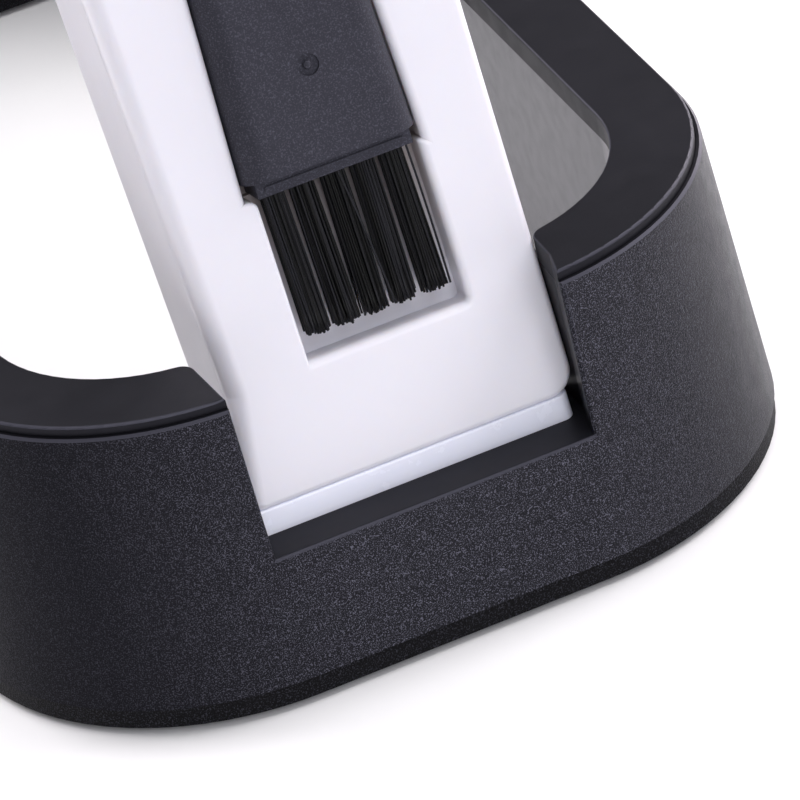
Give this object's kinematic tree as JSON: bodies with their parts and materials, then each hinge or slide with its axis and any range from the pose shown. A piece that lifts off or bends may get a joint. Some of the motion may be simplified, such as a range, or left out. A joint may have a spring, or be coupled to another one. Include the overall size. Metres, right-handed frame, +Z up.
{
  "type": "groove brush with stand",
  "caption": "Small five-tuft cleaning brush stored head down in the stepped recess of a leaning white column, on an open ring base.",
  "frame": {"origin": "on the floor, under the middle of the ring base", "axes": "+Z up, -Y the front with the notch and the column's face, +X to the right of someone facing the brush"},
  "size_m": [0.0632, 0.1252, 0.0983],
  "materials": {
    "grained_black": "black moulded plastic with a fine spark-eroded grain",
    "smooth_black": "smooth satin charcoal plastic",
    "cover_black": "matt charcoal plastic",
    "white_shell": "semi-gloss cool white plastic",
    "cap_white": "glossy bluish-white plastic",
    "handle_black": "satin black plastic with a fine grain",
    "bristle_nylon": "black nylon filament",
    "anchor_brass": "plain drawn brass",
    "screw_steel": "zinc-plated steel",
    "spine_steel": "plain sheet steel",
    "ballast_steel": "plain steel bar",
    "foot_rubber": "soft matt rubber"
  },
  "bodies": {
    "stand": {"base_housing": "grained_black", "base_top_plate": "smooth_black", "base_bottom_cover": "cover_black", "base_cover_screws": "screw_steel", "column_front_shell": "white_shell", "column_rear_shell": "white_shell", "column_end_cap": "cap_white", "column_top_cap": "cap_white", "column_spine": "spine_steel", "column_shell_screws": "screw_steel", "spine_foot_screws": "screw_steel", "rubber_foot_front_left": "foot_rubber", "rubber_foot_front_right": "foot_rubber", "rubber_foot_rear_left": "foot_rubber", "rubber_foot_rear_right": "foot_rubber", "ballast_bar_left_front": "ballast_steel", "ballast_bar_left_rear": "ballast_steel", "ballast_bar_right_front": "ballast_steel", "ballast_bar_right_rear": "ballast_steel"},
    "brush": {"brush_handle": "handle_black", "tuft_anchors": "anchor_brass", "bristle_tuft_1": "bristle_nylon", "bristle_tuft_2": "bristle_nylon", "bristle_tuft_3": "bristle_nylon", "bristle_tuft_4": "bristle_nylon", "bristle_tuft_5": "bristle_nylon"}
  },
  "joints": [
    {"name": "brush_lift", "type": "slide", "parent": "stand", "child": "brush", "axis": [0, -0.9627, 0.2706], "range_m": [0, 0.03]}
  ]
}
